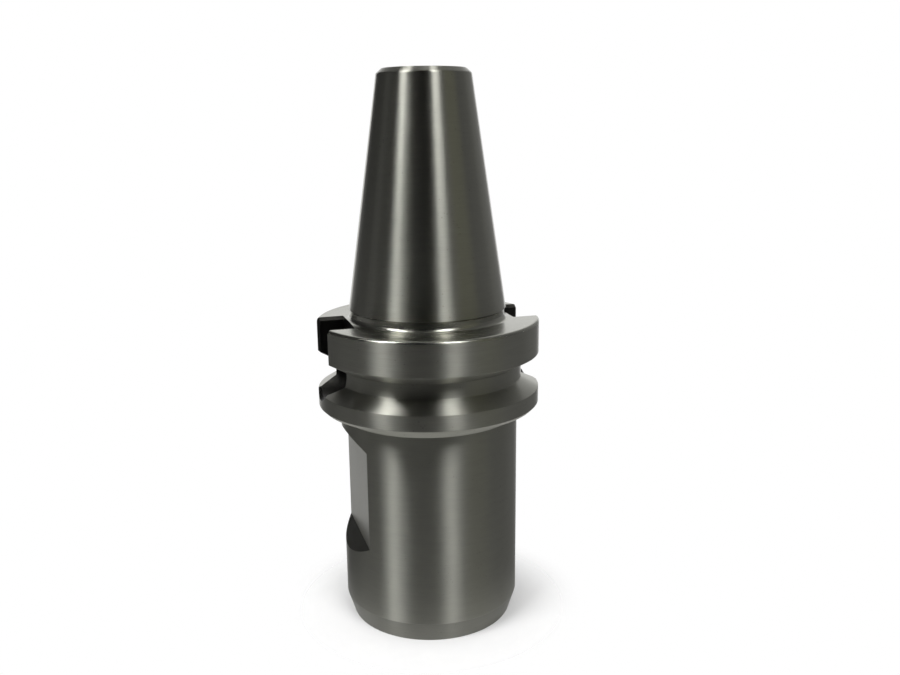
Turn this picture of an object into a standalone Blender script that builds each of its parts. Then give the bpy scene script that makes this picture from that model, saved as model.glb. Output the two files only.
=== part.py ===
"""Side lock end mill holder with a 40-taper shank for machining centres.

The holder is one turned and ground piece of steel. It stands on its nose face, so the
origin is the centre of that face and +Z runs up the axis to the small end of the taper.
The drive slots look along X, the flat milled for balance looks along -X, and the two set
screws that lock the cutter's shank lie opposite that flat, along +X.
"""

import math

import bmesh
import bpy
from mathutils import Matrix

# Shank: the taper, the neck below it and the hole for the pull stud
PROJECTION = 0.090424
GAUGE_DIAMETER = 0.04445
TAPER_LENGTH = 0.0654
TAPER_RATE = 7.0 / 24.0
SMALL_END_CHAMFER = 0.0013
NECK_START_ABOVE_GAUGE = 0.001
NECK_DEPTH = 0.0004
NECK_FILLET = 0.0015
STUD_THREAD_DIAMETER = 0.016
STUD_PILOT_STEP = 0.0005
STUD_PILOT_DEPTH = 0.005
STUD_HOLE_DEPTH = 0.034
STUD_MOUTH_CHAMFER = 0.0008
COOLANT_HOLE_DIAMETER = 0.012

# Flange: two rings with the gripper groove between them
FLANGE_DIAMETER = 0.063
FLANGE_THICKNESS = 0.025
GAUGE_TO_FLANGE = 0.002
FLANGE_TOP_ROUND = 0.001
FLANGE_BOTTOM_CHAMFER = 0.0011
GROOVE_FROM_GAUGE = 0.0166
GROOVE_WIDTH = 0.010
GROOVE_DEPTH = 0.005
GROOVE_SIDE_ANGLE = math.radians(30.0)
GROOVE_EDGE_BREAK = 0.0002

# Drive slots: flat floor, parallel walls, round lower end
SLOT_WIDTH = 0.0161
SLOT_FLOOR_OFF_GAUGE_LINE = 0.000375
SLOT_END_PAST_GROOVE = 0.0012
SLOT_CHAMFER = 0.0009

# Nose: the body that holds the cutter's shank
NOSE_DIAMETER = 0.0508
NOSE_CHAMFER_LENGTH = 0.006
NOSE_CHAMFER_DEPTH = 0.0019
COLLAR_STEP = 0.001
COLLAR_HEIGHT = 0.0011
COLLAR_RUNOUT = 0.0015
BORE_DIAMETER = 0.0254
BORE_DEPTH = 0.064
BORE_MOUTH_CHAMFER = 0.001
DRILL_POINT_ANGLE = math.radians(31.0)

# Balance flat, with a ramp at each end
FLAT_DEPTH = 0.00385
FLAT_BELOW_FLANGE = 0.00535
FLAT_ABOVE_NOSE_FACE = 0.0218

# Set screws and their tapped holes, threads shown at their nominal size
SCREW_HOLE_DIAMETER = 0.0192
SCREW_HOLE_CHAMFER = 0.001
SCREW_CLEARANCE = 0.0003
SHANK_FLAT_DEPTH = 0.0019
SCREW_TIP_CHAMFER = 0.0016
SCREW_END_CHAMFER = 0.0009
FIRST_SCREW_FROM_NOSE = 0.0239
SCREW_SPACING = 0.0254
SOCKET_ACROSS_FLATS = 0.009525
SOCKET_FLOOR_THICKNESS = 0.0051
SOCKET_MOUTH_CHAMFER = 0.0005

# Fineness of the turned shapes, and how far a cutter runs out of the metal
BODY_STEPS = 80
SCREW_STEPS = 48
FILLET_STEPS = 4
SLOT_END_STEPS = 16
RUN_OUT = 0.003
MERGE_DISTANCE = 0.00001
SHARP_ANGLE = math.radians(28.0)

# Heights and radii that follow from the sizes above
GAUGE_Z = PROJECTION
TOP_Z = GAUGE_Z + TAPER_LENGTH
FLANGE_TOP_Z = GAUGE_Z - GAUGE_TO_FLANGE
FLANGE_BOTTOM_Z = FLANGE_TOP_Z - FLANGE_THICKNESS
GROOVE_Z = GAUGE_Z - GROOVE_FROM_GAUGE
FLANGE_RADIUS = FLANGE_DIAMETER / 2.0
NOSE_RADIUS = NOSE_DIAMETER / 2.0
BORE_RADIUS = BORE_DIAMETER / 2.0
SLOT_FLOOR_X = GAUGE_DIAMETER / 2.0 + SLOT_FLOOR_OFF_GAUGE_LINE
SLOT_END_Z = GROOVE_Z - GROOVE_WIDTH / 2.0 - SLOT_END_PAST_GROOVE

# A screw is as long as the wall is thick, and its tip rests on the flat of a clamped shank
SCREW_LENGTH = NOSE_RADIUS - BORE_RADIUS
SCREW_TIP_X = BORE_RADIUS - SHANK_FLAT_DEPTH


def clear_scene():
    """Start from an empty scene."""
    for obj in list(bpy.data.objects):
        bpy.data.objects.remove(obj, do_unlink=True)


def new_collection(name):
    """Add a collection to the scene."""
    collection = bpy.data.collections.new(name)
    bpy.context.scene.collection.children.link(collection)
    return collection


def steel(name, colour, roughness):
    """A Principled material for bare or blackened steel."""
    material = bpy.data.materials.new(name)
    material.use_nodes = True
    shader = material.node_tree.nodes["Principled BSDF"]
    shader.inputs["Base Color"].default_value = (*colour, 1.0)
    shader.inputs["Metallic"].default_value = 1.0
    shader.inputs["Roughness"].default_value = roughness
    material.diffuse_color = (*colour, 1.0)
    return material


def arc(centre, radius, start, end, steps):
    """Points of an arc in the profile plane, from one angle to the other in degrees."""
    points = []
    for step in range(steps + 1):
        angle = math.radians(start + (end - start) * step / steps)
        points.append((centre[0] + radius * math.cos(angle), centre[1] + radius * math.sin(angle)))
    return points


def turned(name, profile, closed, steps, collection):
    """Turn a profile of (radius, height) points about Z with a Screw modifier."""
    edges = [(index, index + 1) for index in range(len(profile) - 1)]
    if closed:
        edges.append((len(profile) - 1, 0))
    mesh = bpy.data.meshes.new(name)
    mesh.from_pydata([(radius, 0.0, height) for radius, height in profile], edges, [])
    obj = bpy.data.objects.new(name, mesh)
    collection.objects.link(obj)
    screw = obj.modifiers.new("turn", "SCREW")
    screw.axis = "Z"
    screw.steps = steps
    screw.render_steps = steps
    screw.use_merge_vertices = True
    screw.merge_threshold = MERGE_DISTANCE
    return obj


def from_bmesh(name, shape, collection):
    """Make an object of a bmesh and free the bmesh."""
    mesh = bpy.data.meshes.new(name)
    shape.to_mesh(mesh)
    shape.free()
    obj = bpy.data.objects.new(name, mesh)
    collection.objects.link(obj)
    return obj


def as_cutter(obj):
    """Show a cutter as wire only and keep it out of the render."""
    obj.hide_render = True
    obj.display_type = "WIRE"
    return obj


def cut(obj, cutter):
    """Take the cutter's volume out of the object."""
    boolean = obj.modifiers.new("cut " + cutter.name, "BOOLEAN")
    boolean.operation = "DIFFERENCE"
    boolean.solver = "EXACT"
    boolean.object = cutter


def finish(obj, material):
    """Settle the modifiers into the mesh, shade it smooth with its sharp edges kept, and colour it."""
    depsgraph = bpy.context.evaluated_depsgraph_get()
    mesh = bpy.data.meshes.new_from_object(obj.evaluated_get(depsgraph))
    obj.modifiers.clear()
    obj.data = mesh
    mesh.name = obj.name
    mesh.shade_smooth()
    mesh.set_sharp_from_angle(angle=SHARP_ANGLE)
    mesh.materials.clear()
    mesh.materials.append(material)


def taper_radius(height):
    """Radius of the ground taper at a height above the nose face."""
    return GAUGE_DIAMETER / 2.0 - (height - GAUGE_Z) * TAPER_RATE / 2.0


def shank_profile():
    """Outside of the taper and its neck, from the small end down to the flange."""
    small_radius = taper_radius(TOP_Z)
    chamfer_z = TOP_Z - SMALL_END_CHAMFER
    neck_top = GAUGE_Z + NECK_START_ABOVE_GAUGE
    neck_radius = taper_radius(neck_top) - NECK_DEPTH
    fillet_centre = (neck_radius + NECK_FILLET, FLANGE_TOP_Z + NECK_FILLET)
    points = [
        (small_radius - SMALL_END_CHAMFER, TOP_Z),
        (taper_radius(chamfer_z), chamfer_z),
        (taper_radius(neck_top), neck_top),
        (neck_radius, neck_top - NECK_DEPTH),
    ]
    return points + arc(fillet_centre, NECK_FILLET, 180.0, 270.0, FILLET_STEPS)


def flange_profile():
    """Outside of the flange, with the gripper groove between its two rings."""
    half_width = GROOVE_WIDTH / 2.0
    floor_radius = FLANGE_RADIUS - GROOVE_DEPTH
    half_floor = half_width - GROOVE_DEPTH * math.tan(GROOVE_SIDE_ANGLE)
    lip_radius = FLANGE_RADIUS - GROOVE_EDGE_BREAK
    lip_half = half_width - GROOVE_EDGE_BREAK * math.tan(GROOVE_SIDE_ANGLE)
    round_centre = (FLANGE_RADIUS - FLANGE_TOP_ROUND, FLANGE_TOP_Z - FLANGE_TOP_ROUND)
    points = arc(round_centre, FLANGE_TOP_ROUND, 90.0, 0.0, FILLET_STEPS)
    points += [
        (FLANGE_RADIUS, GROOVE_Z + half_width + GROOVE_EDGE_BREAK),
        (lip_radius, GROOVE_Z + lip_half),
        (floor_radius, GROOVE_Z + half_floor),
        (floor_radius, GROOVE_Z - half_floor),
        (lip_radius, GROOVE_Z - lip_half),
        (FLANGE_RADIUS, GROOVE_Z - half_width - GROOVE_EDGE_BREAK),
        (FLANGE_RADIUS, FLANGE_BOTTOM_Z + FLANGE_BOTTOM_CHAMFER),
        (FLANGE_RADIUS - FLANGE_BOTTOM_CHAMFER, FLANGE_BOTTOM_Z),
    ]
    return points


def nose_profile():
    """Outside of the nose, from the collar under the flange down to the nose face."""
    collar_radius = NOSE_RADIUS + COLLAR_STEP
    collar_end = FLANGE_BOTTOM_Z - COLLAR_HEIGHT
    return [
        (collar_radius, FLANGE_BOTTOM_Z),
        (collar_radius, collar_end),
        (NOSE_RADIUS, collar_end - COLLAR_RUNOUT),
        (NOSE_RADIUS, NOSE_CHAMFER_LENGTH),
        (NOSE_RADIUS - NOSE_CHAMFER_DEPTH, 0.0),
    ]


def hole_profile():
    """Inside of the holder, from the bore's mouth up through the coolant hole to the stud's hole."""
    coolant_radius = COOLANT_HOLE_DIAMETER / 2.0
    thread_radius = STUD_THREAD_DIAMETER / 2.0
    pilot_radius = thread_radius + STUD_PILOT_STEP
    bore_cone = (BORE_RADIUS - coolant_radius) * math.tan(DRILL_POINT_ANGLE)
    stud_cone = (thread_radius - coolant_radius) * math.tan(DRILL_POINT_ANGLE)
    stud_end = TOP_Z - STUD_HOLE_DEPTH
    pilot_end = TOP_Z - STUD_PILOT_DEPTH
    return [
        (BORE_RADIUS + BORE_MOUTH_CHAMFER, 0.0),
        (BORE_RADIUS, BORE_MOUTH_CHAMFER),
        (BORE_RADIUS, BORE_DEPTH),
        (coolant_radius, BORE_DEPTH + bore_cone),
        (coolant_radius, stud_end - stud_cone),
        (thread_radius, stud_end),
        (thread_radius, pilot_end - STUD_PILOT_STEP),
        (pilot_radius, pilot_end),
        (pilot_radius, TOP_Z - STUD_MOUTH_CHAMFER),
        (pilot_radius + STUD_MOUTH_CHAMFER, TOP_Z),
    ]


def slot_loop(grow, place):
    """One U-shaped section of a drive slot as (x, y, z), grown outwards; place gives x from y.

    Above the flange's face the walls lean out at 45 degrees, which breaks the slot's top edges.
    """
    radius = SLOT_WIDTH / 2.0 + grow
    lean_z = FLANGE_TOP_Z - SLOT_CHAMFER - grow * (math.sqrt(2.0) - 1.0)
    open_z = GAUGE_Z + RUN_OUT
    open_y = radius + open_z - lean_z
    outline = [(-open_y, open_z), (-radius, lean_z)]
    outline += arc((0.0, SLOT_END_Z + SLOT_WIDTH / 2.0), radius, 180.0, 360.0, SLOT_END_STEPS)
    outline += [(radius, lean_z), (open_y, open_z)]
    return [(place(y), y, z) for y, z in outline]


def rim(y):
    """How far the flange's rim is from the YZ plane, at a y inside the slot's mouth and level beyond."""
    mouth = SLOT_WIDTH / 2.0 + 2 * SLOT_CHAMFER
    return math.sqrt(FLANGE_RADIUS ** 2 - min(abs(y), mouth) ** 2)


def slot_cutter(collection):
    """Loft of U sections from the slot's floor out to the rim, where its edge is broken."""
    shape = bmesh.new()
    sections = [
        slot_loop(0.0, lambda y: SLOT_FLOOR_X),
        slot_loop(0.0, lambda y: rim(y) - SLOT_CHAMFER),
        slot_loop(2 * SLOT_CHAMFER, lambda y: rim(y) + SLOT_CHAMFER),
        slot_loop(2 * SLOT_CHAMFER, lambda y: FLANGE_RADIUS + RUN_OUT),
    ]
    loops = [[shape.verts.new(point) for point in section] for section in sections]
    shape.faces.new(loops[0])
    for near, far in zip(loops, loops[1:]):
        for index in range(len(near)):
            after = (index + 1) % len(near)
            shape.faces.new((near[index], far[index], far[after], near[after]))
    shape.faces.new(reversed(loops[-1]))
    bmesh.ops.recalc_face_normals(shape, faces=shape.faces)
    return as_cutter(from_bmesh("drive_slot_cutter", shape, collection))


def tapered_box(name, near, far, collection):
    """A box whose near and far ends differ, each end given as its x, y and z limits."""
    shape = bmesh.new()
    bmesh.ops.create_cube(shape, size=2.0)
    for vertex in shape.verts:
        limits = far if vertex.co.z > 0.0 else near
        side_x = limits["x"][1 if vertex.co.x > 0.0 else 0]
        side_y = limits["y"][1 if vertex.co.y > 0.0 else 0]
        vertex.co = (side_x, side_y, limits["z"])
    return as_cutter(from_bmesh(name, shape, collection))


def flat_cutter(collection):
    """Mills the balance flat, with a 45 degree ramp at each end."""
    floor_x = NOSE_RADIUS - FLAT_DEPTH
    depth = FLAT_DEPTH + RUN_OUT
    low = FLAT_ABOVE_NOSE_FACE + FLAT_DEPTH
    high = FLANGE_BOTTOM_Z - FLAT_BELOW_FLANGE - FLAT_DEPTH
    sides = (-NOSE_RADIUS, NOSE_RADIUS)
    near = {"x": (low, high), "y": sides, "z": floor_x}
    far = {"x": (low - depth, high + depth), "y": sides, "z": floor_x + depth}
    cutter = tapered_box("balance_flat_cutter", near, far, collection)
    cutter.matrix_world = Matrix.Rotation(math.radians(-90.0), 4, "Y")
    return cutter


def across(height, reach):
    """Placement that lays a shape turned about Z along +X, at a height and a reach from the axis."""
    turn = Matrix.Rotation(math.radians(90.0), 4, "Y")
    return Matrix.Translation((reach, 0.0, height)) @ turn


def screw_hole_cutter(name, height, collection):
    """Tapped hole for a set screw, from inside the bore out through the wall, with a chamfered mouth."""
    radius = SCREW_HOLE_DIAMETER / 2.0
    mouth = NOSE_RADIUS - SCREW_HOLE_CHAMFER
    end = NOSE_RADIUS + RUN_OUT
    profile = [(0.0, end), (radius + end - mouth, end), (radius, mouth), (radius, 0.0), (0.0, 0.0)]
    cutter = as_cutter(turned(name, profile, False, SCREW_STEPS, collection))
    cutter.matrix_world = across(height, 0.0)
    return cutter


def socket_cutter(name, placement, collection):
    """Hexagon socket with a drilled point at its bottom, open at the screw's outer end."""
    radius = SOCKET_ACROSS_FLATS / 2.0 / math.cos(math.radians(30.0))
    depth = SCREW_LENGTH - SOCKET_FLOOR_THICKNESS + RUN_OUT
    shape = bmesh.new()
    bmesh.ops.create_cone(
        shape, cap_ends=True, segments=6, radius1=radius, radius2=radius, depth=depth,
        matrix=Matrix.Translation((0.0, 0.0, SOCKET_FLOOR_THICKNESS + depth / 2.0)))
    cutter = as_cutter(from_bmesh(name, shape, collection))
    cutter.matrix_world = placement
    return cutter


def socket_mouth_cutter(name, placement, collection):
    """Turned cutter for the chamfer round the socket's mouth and the drill point under it."""
    corner = SOCKET_ACROSS_FLATS / 2.0 / math.cos(math.radians(30.0))
    drill = SOCKET_ACROSS_FLATS / 2.0 - SOCKET_MOUTH_CHAMFER / 4.0
    mouth = corner + SOCKET_MOUTH_CHAMFER / 2.0
    profile = [
        (0.0, SCREW_LENGTH + RUN_OUT),
        (mouth + RUN_OUT, SCREW_LENGTH + RUN_OUT),
        (drill, SCREW_LENGTH - (mouth - drill)),
        (drill, SOCKET_FLOOR_THICKNESS),
        (0.0, SOCKET_FLOOR_THICKNESS - drill * math.tan(DRILL_POINT_ANGLE)),
    ]
    cutter = as_cutter(turned(name, profile, False, SCREW_STEPS, collection))
    cutter.matrix_world = placement
    return cutter


def holder_body(parts, cutters, material, screw_heights):
    """The holder itself: one turned blank with its slots, flat and screw holes cut into it."""
    profile = shank_profile() + flange_profile() + nose_profile() + hole_profile()
    body = turned("holder_body", profile, True, BODY_STEPS, parts)
    right_slot = slot_cutter(cutters)
    left_slot = right_slot.copy()
    left_slot.name = "left_" + right_slot.name
    left_slot.rotation_euler.z = math.pi
    cutters.objects.link(left_slot)
    cut(body, right_slot)
    cut(body, left_slot)
    cut(body, flat_cutter(cutters))
    for name, height in screw_heights.items():
        cut(body, screw_hole_cutter(name + "_hole_cutter", height, cutters))
    finish(body, material)


def set_screw(name, height, parts, cutters, material):
    """A set screw with a flat tip and a hexagon socket, lying along +X in its tapped hole."""
    radius = SCREW_HOLE_DIAMETER / 2.0 - SCREW_CLEARANCE
    placement = across(height, SCREW_TIP_X)
    profile = [
        (0.0, SCREW_LENGTH),
        (radius - SCREW_END_CHAMFER, SCREW_LENGTH),
        (radius, SCREW_LENGTH - SCREW_END_CHAMFER),
        (radius, SCREW_TIP_CHAMFER),
        (radius - SCREW_TIP_CHAMFER, 0.0),
        (0.0, 0.0),
    ]
    screw = turned(name, profile, False, SCREW_STEPS, parts)
    screw.matrix_world = placement
    cut(screw, socket_cutter(name + "_socket_cutter", placement, cutters))
    cut(screw, socket_mouth_cutter(name + "_mouth_cutter", placement, cutters))
    finish(screw, material)


def build():
    """Build the holder and its two set screws."""
    clear_scene()
    parts = new_collection("side_lock_end_mill_holder")
    cutters = new_collection("cutters")
    ground_steel = steel("ground_steel", (0.36, 0.355, 0.33), 0.3)
    black_steel = steel("black_oxide_steel", (0.05, 0.05, 0.055), 0.42)
    screw_heights = {
        "front_set_screw": FIRST_SCREW_FROM_NOSE,
        "rear_set_screw": FIRST_SCREW_FROM_NOSE + SCREW_SPACING,
    }
    holder_body(parts, cutters, ground_steel, screw_heights)
    for name, height in screw_heights.items():
        set_screw(name, height, parts, cutters, black_steel)


build()
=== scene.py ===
import math

import bmesh
import bpy
from mathutils import Matrix, Vector


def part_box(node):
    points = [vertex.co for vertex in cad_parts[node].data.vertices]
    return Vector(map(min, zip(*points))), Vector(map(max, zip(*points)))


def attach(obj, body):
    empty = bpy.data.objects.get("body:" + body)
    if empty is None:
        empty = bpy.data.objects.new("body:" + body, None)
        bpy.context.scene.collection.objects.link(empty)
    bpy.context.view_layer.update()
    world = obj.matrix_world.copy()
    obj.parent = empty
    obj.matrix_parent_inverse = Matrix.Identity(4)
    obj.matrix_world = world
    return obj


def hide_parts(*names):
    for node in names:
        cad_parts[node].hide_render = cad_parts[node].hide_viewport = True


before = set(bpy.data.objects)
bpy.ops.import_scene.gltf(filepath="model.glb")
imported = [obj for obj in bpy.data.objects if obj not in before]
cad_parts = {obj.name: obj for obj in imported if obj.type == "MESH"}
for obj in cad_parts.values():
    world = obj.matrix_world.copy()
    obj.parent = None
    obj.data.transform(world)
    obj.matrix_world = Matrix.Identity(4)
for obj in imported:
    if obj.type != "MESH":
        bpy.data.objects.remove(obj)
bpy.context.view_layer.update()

# %% [markdown]
# # Side lock end mill holder
#
# A machining centre holds this tool holder by its steep taper, and the holder holds an end mill
# in the bore of its nose, where two set screws press on the flats of the mill's shank.
# The frame already has the holder and its screws as plain solids of the right size.
# Here each one is modelled again with the broken edges, threads and grinding marks of the real
# steel, in the same place, and then lit and seen as in the photograph.

# %% Measure the frame
BODY_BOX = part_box("holder_body")
SCREW_BOXES = {name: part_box(name) for name in ("front_set_screw", "rear_set_screw")}
TOP_Z = BODY_BOX[1].z
FLANGE_RADIUS = BODY_BOX[1].y
print("holder", [round(value * 1000, 2) for value in BODY_BOX[1] - BODY_BOX[0]], "mm")

# %% [markdown]
# ## Camera
#
# The photograph looks down a little on the holder, which stands turned by about 15 degrees, so
# that the balance flat shows at the left. The lens and place were worked out from the outline of
# the taper, the flange and the nose, whose real sizes are known.
# A small lens shift keeps the holder a little left of the picture's centre.

# %% Place the camera
PICTURE_WIDTH = 900.0
SENSOR_WIDTH = 36.0
FOCAL_PIXELS = 925.7
CAMERA_DISTANCE = 0.2574
CAMERA_HEIGHT = 0.142
HOLDER_TURN = math.radians(15.4)
CAMERA_YAW = 0.0163
CAMERA_PITCH = 0.2446
CAMERA_ROLL = -0.0115

camera_data = bpy.data.cameras.new("camera")
camera_data.sensor_width = SENSOR_WIDTH
camera_data.lens = FOCAL_PIXELS * SENSOR_WIDTH / PICTURE_WIDTH
camera_data.shift_x = 0.0081
camera_data.shift_y = 0.0167
camera = bpy.data.objects.new("camera", camera_data)
bpy.context.scene.collection.objects.link(camera)
camera.location = (
    -CAMERA_DISTANCE * math.sin(HOLDER_TURN),
    -CAMERA_DISTANCE * math.cos(HOLDER_TURN),
    CAMERA_HEIGHT,
)
heading = Matrix.Rotation(-CAMERA_YAW - HOLDER_TURN, 4, "Z")
tilt = Matrix.Rotation(math.radians(90.0) - CAMERA_PITCH, 4, "X")
roll = Matrix.Rotation(CAMERA_ROLL, 4, "Z")
camera.rotation_euler = (heading @ tilt @ roll).to_euler()
bpy.context.scene.camera = camera
bpy.context.scene.view_settings.view_transform = "Standard"
print("lens", round(camera_data.lens, 2), "mm")

# %% [markdown]
# ## Modelling helpers
#
# A turned part is drawn as half of its section: one vertex is extruded from corner to corner,
# corners are rounded with a vertex bevel, and the outline is spun round the axis.
# A lathe works the same way, so each real edge and fillet is one corner of the outline.

# %% Select by place
def deselect():
    """Deselect every object, because operators act on all that is selected."""
    bpy.ops.object.select_all(action="DESELECT")


def make_active(piece):
    """Make one object the only selected and the active one."""
    deselect()
    piece.select_set(True)
    bpy.context.view_layer.objects.active = piece


def pick(piece, kind, test):
    """In edit mode, select the vertices, edges or faces whose places pass a test, and count them."""
    bpy.ops.mesh.select_mode(type=kind)
    bpy.ops.mesh.select_all(action="DESELECT")
    shape = bmesh.from_edit_mesh(piece.data)
    found = 0
    for part in {"VERT": shape.verts, "EDGE": shape.edges, "FACE": shape.faces}[kind]:
        places = [part.co] if kind == "VERT" else [vertex.co for vertex in part.verts]
        if all(test(place) for place in places):
            part.select_set(True)
            found += 1
    shape.select_flush_mode()
    bmesh.update_edit_mesh(piece.data)
    return found


# %% Draw and spin an outline
SAME_PLACE = 1e-6


def draw_outline(name, corners, closed):
    """Extrude one vertex through the outline's corners, given as (radius, height)."""
    deselect()
    bpy.ops.mesh.primitive_plane_add(size=0.001)
    piece = bpy.context.object
    piece.name = piece.data.name = name
    bpy.ops.object.mode_set(mode="EDIT")
    bpy.ops.mesh.merge(type="CENTER")
    bpy.ops.transform.translate(value=(corners[0][0], 0.0, corners[0][1]))
    for start, end in zip(corners, corners[1:]):
        step = (end[0] - start[0], 0.0, end[1] - start[1])
        bpy.ops.mesh.extrude_vertices_move(TRANSFORM_OT_translate={"value": step})
    if closed:
        ends = (corners[0], corners[-1])
        pick(piece, "VERT", lambda place: any(at(place, corner) for corner in ends))
        bpy.ops.mesh.edge_face_add()
    return piece


def at(place, corner):
    """True if a vertex lies at a corner of the outline."""
    return math.hypot(place.x - corner[0], place.z - corner[1]) < SAME_PLACE


def round_corner(piece, corners, index, radius, segments):
    """Round one corner of the outline, so that the arc has the wanted radius."""
    corner = Vector(corners[index])
    before = Vector(corners[index - 1]) - corner
    after = Vector(corners[(index + 1) % len(corners)]) - corner
    setback = radius / math.tan(before.angle(after) / 2.0)
    pick(piece, "VERT", lambda place: at(place, corner))
    bpy.ops.mesh.bevel(offset=setback, segments=segments, affect="VERTICES")


def spin_outline(piece, steps):
    """Spin the outline once round the axis, close its seam and turn its faces outwards."""
    bpy.ops.mesh.select_mode(type="VERT")
    bpy.ops.mesh.select_all(action="SELECT")
    bpy.ops.mesh.spin(steps=steps, angle=2.0 * math.pi, center=(0, 0, 0), axis=(0, 0, 1))
    bpy.ops.mesh.select_all(action="SELECT")
    bpy.ops.mesh.remove_doubles(threshold=SAME_PLACE)
    bpy.ops.mesh.normals_make_consistent(inside=False)
    bpy.ops.object.mode_set(mode="OBJECT")


# %% Cut and finish
def cut_out(piece, cutter):
    """Take a cutter's volume out of a piece; the new faces keep the cutter's material."""
    boolean = piece.modifiers.new("cut", "BOOLEAN")
    boolean.object = cutter
    boolean.operation = "DIFFERENCE"
    boolean.solver = "EXACT"
    boolean.material_mode = "TRANSFER"
    make_active(piece)
    bpy.ops.object.modifier_apply(modifier=boolean.name)
    print("cut", cutter.name, "->", len(piece.data.polygons), "faces")
    bpy.data.objects.remove(cutter)


def apply_place(piece):
    """Put a piece's place into its mesh, so that the object sits at the origin."""
    make_active(piece)
    bpy.ops.object.transform_apply(location=True, rotation=True, scale=True)


def shade(piece, angle):
    """Shade smooth up to an angle, with normals that follow the large faces."""
    make_active(piece)
    bpy.ops.object.shade_smooth_by_angle(angle=math.radians(angle))
    weighted = piece.modifiers.new("weighted normals", "WEIGHTED_NORMAL")
    weighted.mode = "FACE_AREA"
    weighted.weight = 50
    weighted.keep_sharp = True
    bpy.ops.object.modifier_apply(modifier=weighted.name)


# %% [markdown]
# ## Surface effects
#
# All the steel here is machined, and each finish shows the way the tool moved.
# Three effects are shared by several finishes, so each is a node group with its own values in
# each material: turning marks that run round an axis, pits and dust specks, and smears left by
# oily hands. They read Object coordinates, so nothing slides when a piece moves.

# %% Node helpers
def new_group(name, inputs, outputs):
    """A shader node group; inputs are (name, socket type, default), outputs (name, socket type)."""
    group = bpy.data.node_groups.new(name, "ShaderNodeTree")
    for label, kind, default in inputs:
        socket = group.interface.new_socket(name=label, in_out="INPUT", socket_type=kind)
        if default is not None:
            socket.default_value = default
    for label, kind in outputs:
        group.interface.new_socket(name=label, in_out="OUTPUT", socket_type=kind)
    return group, group.nodes.new("NodeGroupInput"), group.nodes.new("NodeGroupOutput")


def math_node(tree, operation, first, second=None):
    """A Math node fed by sockets or numbers; gives its output."""
    node = tree.nodes.new("ShaderNodeMath")
    node.operation = operation
    for socket, value in zip(node.inputs, (first, second)):
        if isinstance(value, bpy.types.NodeSocket):
            tree.links.new(value, socket)
        elif value is not None:
            socket.default_value = value
    return node.outputs[0]


def ease(tree, value, low, high, to_low=0.0, to_high=1.0):
    """A smooth Map Range from one span to another; gives its output."""
    node = tree.nodes.new("ShaderNodeMapRange")
    node.interpolation_type = "SMOOTHSTEP"
    node.inputs["From Min"].default_value = low
    node.inputs["From Max"].default_value = high
    node.inputs["To Min"].default_value = to_low
    node.inputs["To Max"].default_value = to_high
    tree.links.new(value, node.inputs["Value"])
    return node.outputs["Result"]


def noise(tree, vector, scale, detail=2.0, roughness=0.5, w=None):
    """A noise texture, in four dimensions where w is given; gives its value."""
    node = tree.nodes.new("ShaderNodeTexNoise")
    node.inputs["Scale"].default_value = scale
    node.inputs["Detail"].default_value = detail
    node.inputs["Roughness"].default_value = roughness
    tree.links.new(vector, node.inputs["Vector"])
    if w is not None:
        node.noise_dimensions = "4D"
        tree.links.new(w, node.inputs["W"])
    return node.outputs[0]


# %% Turning marks
def make_turning_marks():
    """Fine rings round the Z axis of the vector that comes in, drawn out along the cut."""
    group, source, sink = new_group(
        "turning_marks",
        [("Vector", "NodeSocketVector", None), ("Lines per Metre", "NodeSocketFloat", 6000.0),
         ("Length", "NodeSocketFloat", 4.0)],
        [("Fine", "NodeSocketFloat"), ("Broad", "NodeSocketFloat")])
    links = group.links
    split = group.nodes.new("ShaderNodeSeparateXYZ")
    links.new(source.outputs["Vector"], split.inputs[0])
    squares = math_node(group, "ADD",
                        math_node(group, "MULTIPLY", split.outputs[0], split.outputs[0]),
                        math_node(group, "MULTIPLY", split.outputs[1], split.outputs[1]))
    radius = math_node(group, "MAXIMUM", math_node(group, "SQRT", squares), SAME_PLACE)
    around = [math_node(group, "MULTIPLY", math_node(group, "DIVIDE", split.outputs[axis], radius),
                        source.outputs["Length"]) for axis in (0, 1)]
    lines = source.outputs["Lines per Metre"]
    for label, share in (("Fine", 1.0), ("Broad", 0.13)):
        vector = group.nodes.new("ShaderNodeCombineXYZ")
        links.new(around[0], vector.inputs[0])
        links.new(around[1], vector.inputs[1])
        pace = math_node(group, "MULTIPLY", lines, share)
        links.new(math_node(group, "MULTIPLY", split.outputs[2], pace), vector.inputs[2])
        across = math_node(group, "MULTIPLY", radius, pace)
        value = noise(group, vector.outputs[0], 1.0, detail=2.0, w=across)
        links.new(value, sink.inputs[label])
    return group


TURNING_MARKS = make_turning_marks()
print("group", TURNING_MARKS.name)


# %% Specks and smears
def make_specks():
    """Small dark pits and dust, thinly spread; the mask is 1 on a speck."""
    group, source, sink = new_group(
        "specks",
        [("Vector", "NodeSocketVector", None), ("Scale", "NodeSocketFloat", 900.0),
         ("Amount", "NodeSocketFloat", 0.5)],
        [("Mask", "NodeSocketFloat")])
    cells = group.nodes.new("ShaderNodeTexVoronoi")
    cells.feature = "F1"
    group.links.new(source.outputs["Vector"], cells.inputs["Vector"])
    group.links.new(source.outputs["Scale"], cells.inputs["Scale"])
    dot = ease(group, cells.outputs["Distance"], 0.12, 0.26, 1.0, 0.0)
    spread = noise(group, source.outputs["Vector"], 260.0, detail=3.0)
    patch = ease(group, spread, 0.5, 0.68)
    dots = math_node(group, "MULTIPLY", dot, patch)
    group.links.new(math_node(group, "MULTIPLY", dots, source.outputs["Amount"]), sink.inputs["Mask"])
    return group


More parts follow.
